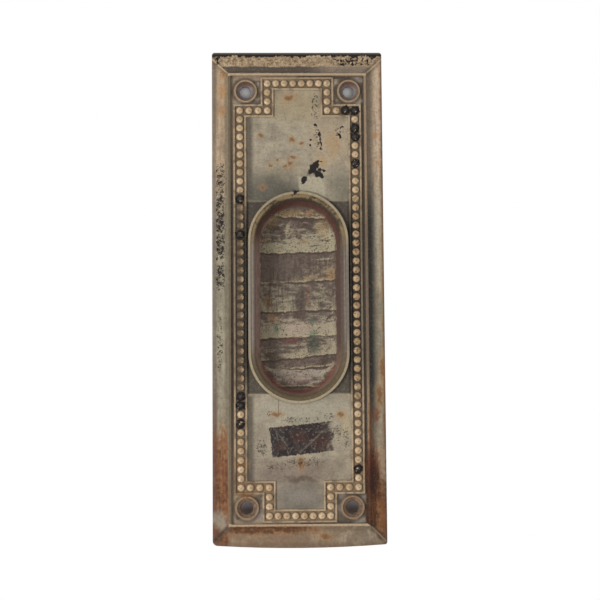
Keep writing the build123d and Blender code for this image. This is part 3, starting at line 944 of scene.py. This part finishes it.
# %% Paint on the beads
# Each dome kept its cream paint best on top, where no dirt stays, apart from a worn dot. The
# paint is chalky here too: pale and soft, with only a faint glint. Sizes are in mm, and those
# of the dot are shares of the dome's radius.
SPECKLE_WIDTH = 0.7
PATCH_WIDTH = 4.0
DOT_PLACE = (0.05, -0.12)
DOT_SIZE = (0.5, 0.5)
bead_paint = Coats("Chalky cream paint on struck beads", "#CEB593", 0.65)
tree = bead_paint.tree
spot = add_node(tree, "Attribute", {}, output="Vector", attribute_name="spot")
lost = add_node(tree, "Attribute", {}, output="Fac", attribute_name="bare")
reach = add_node(tree, "VectorMath", {0: spot}, output="Value", operation="LENGTH")
across = add_node(tree, "SeparateXYZ", {0: spot}, output="X")
place = add_node(tree, "TexCoord", {}, output="Object")
x = in_mm(tree, place, "X")
z = in_mm(tree, place, "Z")
end = add_node(tree, "Math", {0: z}, operation="ABSOLUTE")
look = {"Vector": place, "Detail": 3.0}
speckle = add_node(tree, "TexNoise", {**look, "Scale": 1 / (SPECKLE_WIDTH * MM)})
patchy = add_node(tree, "TexNoise", {**look, "Scale": 1 / (PATCH_WIDTH * MM)})
bead_paint.lay("#A98D68", bead_paint.between(patchy, low=0.5, soft=0.12), strength=0.6)
beside_cup = bead_paint.between(end, high=30, soft=6)
lee_side = bead_paint.between(across, high=0.32, soft=0.42)
bead_paint.lay("#3A3028", lee_side, beside_cup, bead_paint.between(x, high=0, soft=1), strength=0.85)
bead_paint.lay("#94754F", beside_cup, bead_paint.between(x, low=0, soft=1), strength=0.4)
dot = bead_paint.oval(spot, DOT_PLACE, DOT_SIZE, soft=0.4)
bead_paint.lay("#96683E", dot, strength=0.6)
bead_paint.lay("#5E4B35", bead_paint.between(reach, low=0.88, soft=0.08), strength=0.8)
bead_paint.lay("#7A6650", bead_paint.between(speckle, low=0.6, soft=0.08), strength=0.5)
bead_paint.lay("#4A3B2C", bead_paint.between(speckle, low=0.57, soft=0.06), beside_cup, strength=0.6)
bead_paint.lay("#1D1918", bead_paint.islands(lost, speckle, 0.64, soft=0.05), roughness=0.6)
bead_paint.lay("#4E4640", lost, bead_paint.between(reach, high=0.3, soft=0.15), strength=0.6)
beads.data.materials.append(bead_paint.finish(edge_radius=0.05, specular=0.3))

# %% [markdown]
# ## Studio
# The pull hangs in front of a white sheet, with a floor below. A curved sweep of paper could do for both,
# but its shade would change with every lamp. The sheet is white to the camera. Where it shows through the
# screw holes it keeps its natural shade, with painted shade added that grows darker lower down and a
# painted glow behind the upper holes. It is left out of the light on the plate, so the back view is lit
# like the front.

# %% Backdrop and floor
SHEET_GAP = 0.8 * MM
FLOOR_DROP = 160 * MM
STAGE_SIZE = 4.0
PAPER = "#F2F2F0"
PAPER_ROUGHNESS = 0.9


def stage_plane(name, location, rotation):
    """A large square that isn't part of the object."""
    bpy.ops.mesh.primitive_plane_add(size=STAGE_SIZE, location=location, rotation=rotation)
    plane = bpy.context.object
    plane.name = name
    return plane


def seen_directly(tree):
    """1 for the rays that show the surroundings: from the camera, a mirror or a glass."""
    seen = 0.0
    for ray in ("Is Camera Ray", "Is Glossy Ray", "Is Transmission Ray"):
        kind = add_node(tree, "LightPath", {}, output=ray)
        seen = add_node(tree, "Math", {0: seen, 1: kind}, operation="MAXIMUM")
    return seen


sheet = stage_plane("backdrop", (0, high.y + SHEET_GAP, 0), (math.radians(90), 0, 0))
sheet.visible_diffuse = False
sheet.visible_shadow = False
floor = stage_plane("floor", (0, 0, low.z - FLOOR_DROP), (0, 0, 0))

# Matt paper scatters light evenly, so the floor has no shine and no pattern.
floor_paper = bpy.data.materials.new("White paper, matt")
floor_paper.use_nodes = True
floor_shader = floor_paper.node_tree.nodes["Principled BSDF"]
floor_shader.inputs["Base Color"].default_value = linear(PAPER)
floor_shader.inputs["Roughness"].default_value = PAPER_ROUGHNESS
floor.data.materials.append(floor_paper)
print("backdrop at y =", round((high.y + SHEET_GAP) / MM, 1), "mm")

# %% Paper behind the plate
# The sheet glows white around the plate. Behind the plate it is paper with painted shade, darker lower
# down, and that is what shows in the screw holes. Places are in mm from the middle of the plate.
SHADED_PAPER = "#E6E2E8"
DEEP_SHADE = "#94867F"
HIDDEN_HALF = (20 * MM, 66 * MM)
DEEP_BAND = (-66 * MM, -61.3 * MM)
HOLE_GLOW = 0.21
HOLE_VIEW_RISE = 2.1
GLOW_WIDTH = 2.4
screen = Coats("White paper behind the plate", PAPER, PAPER_ROUGHNESS)
tree = screen.tree
spot = add_node(tree, "TexCoord", {}, output="Object")
spot_z = add_node(tree, "SeparateXYZ", {0: spot}, output="Y")
seen_holes = add_node(tree, "VectorMath", {0: spot, "Scale": 1 / MM}, operation="SCALE")
spot = add_node(tree, "VectorMath", {0: spot}, operation="ABSOLUTE")
across = add_node(tree, "SeparateXYZ", {0: spot}, output="X")
along = add_node(tree, "SeparateXYZ", {0: spot}, output="Y")
screen.lay(SHADED_PAPER, screen.between(spot_z, high=0, soft=10 * MM))
screen.lay(DEEP_SHADE, screen.between(spot_z, *DEEP_BAND, soft=1.3 * MM))
outside = screen.any_of(
    screen.between(across, low=HIDDEN_HALF[0], soft=1 * MM),
    screen.between(along, low=HIDDEN_HALF[1], soft=1 * MM),
)
# The camera looks up through the upper holes, so what it sees there lies a little higher
hole_z = SCREW[1] + HOLE_VIEW_RISE
upper_holes = [(hole_x, hole_z, GLOW_WIDTH, GLOW_WIDTH, 0) for hole_x in (-SCREW[0], SCREW[0])]
# Painted glow on the shaded paper behind the upper holes.
through = screen.overlap(screen.ovals(seen_holes, upper_holes, soft=0.8), HOLE_GLOW)
glow = add_node(tree, "Emission", {"Color": (1, 1, 1, 1), "Strength": 1.0})
paper = add_node(tree, "BsdfDiffuse", {"Color": screen.colour})
shown = screen.overlap(seen_directly(tree), screen.any_of(outside, through))
front = add_node(tree, "MixShader", {0: shown, 1: paper, 2: glow})
clear = add_node(tree, "BsdfTransparent", {})
behind = add_node(tree, "NewGeometry", {}, output="Backfacing")
both = add_node(tree, "MixShader", {0: behind, 1: front, 2: clear})
feed(tree, tree.nodes["Material Output"].inputs["Surface"], both)
sheet.data.materials.append(screen.material)
print("paper behind the plate:", len(tree.nodes), "nodes")

# %% [markdown]
# ## Light
# The photograph was taken in soft light that is a little stronger from the left. A sky alone
# would leave the relief flat, and a hard lamp would throw shadows that aren't there, so a soft
# sky lights everything and one wide lamp from the left shows the relief.

# %% Sky and lamp
SKY = 0.52
KEY_PLACE = Vector((-0.36, -0.44, -0.12))
KEY_WIDTH = 0.24
KEY_POWER = 1.9
world = bpy.data.worlds.new("Soft studio")
world.use_nodes = True
tree = world.node_tree
level = add_node(tree, "Mix", {0: seen_directly(tree), 2: SKY, 3: 1.0})
tree.nodes["Background"].inputs["Color"].default_value = (1, 1, 1, 1)
feed(tree, tree.nodes["Background"].inputs["Strength"], level)
bpy.context.scene.world = world

key = bpy.data.lights.new("key", "AREA")
key.shape = "DISK"
key.size = KEY_WIDTH
key.energy = KEY_POWER
key_light = bpy.data.objects.new("key", key)
bpy.context.scene.collection.objects.link(key_light)
key_light.location = KEY_PLACE
key_light.rotation_mode = "QUATERNION"
key_light.rotation_quaternion = (-KEY_PLACE).to_track_quat("-Z", "Y")
key_light.visible_camera = False
print("sky", SKY, "and lamp", KEY_POWER, "W")

# %% [markdown]
# ## Camera
# The photograph looks almost straight at the plate, from a little below and left. Those
# angles, the distance and the lens were found by matching the corners, holes and beads.

# %% Camera
CAMERA_DISTANCE = 450 * MM
CAMERA_AZIMUTH = math.radians(-1.56)
CAMERA_ELEVATION = math.radians(-5.5)
CAMERA_ROLL = math.radians(-0.416)
AIM = Vector((0.474 * MM, 0, -0.716 * MM))
LENS_LENGTH = 91.35
SENSOR_WIDTH = 36
lens = bpy.data.cameras.new("camera")
lens.lens = LENS_LENGTH
lens.sensor_width = SENSOR_WIDTH
camera = bpy.data.objects.new("camera", lens)
bpy.context.scene.collection.objects.link(camera)
back = Vector((
    math.sin(CAMERA_AZIMUTH) * math.cos(CAMERA_ELEVATION),
    -math.cos(CAMERA_AZIMUTH) * math.cos(CAMERA_ELEVATION),
    math.sin(CAMERA_ELEVATION),
))
camera.location = AIM + back * CAMERA_DISTANCE
camera.rotation_mode = "QUATERNION"
camera.rotation_quaternion = (-back).to_track_quat("-Z", "Y") @ Quaternion((0, 0, 1), CAMERA_ROLL)
bpy.context.scene.camera = camera
bpy.context.scene.view_settings.view_transform = "Standard"
print("camera at", [round(v / MM) for v in camera.location], "mm")
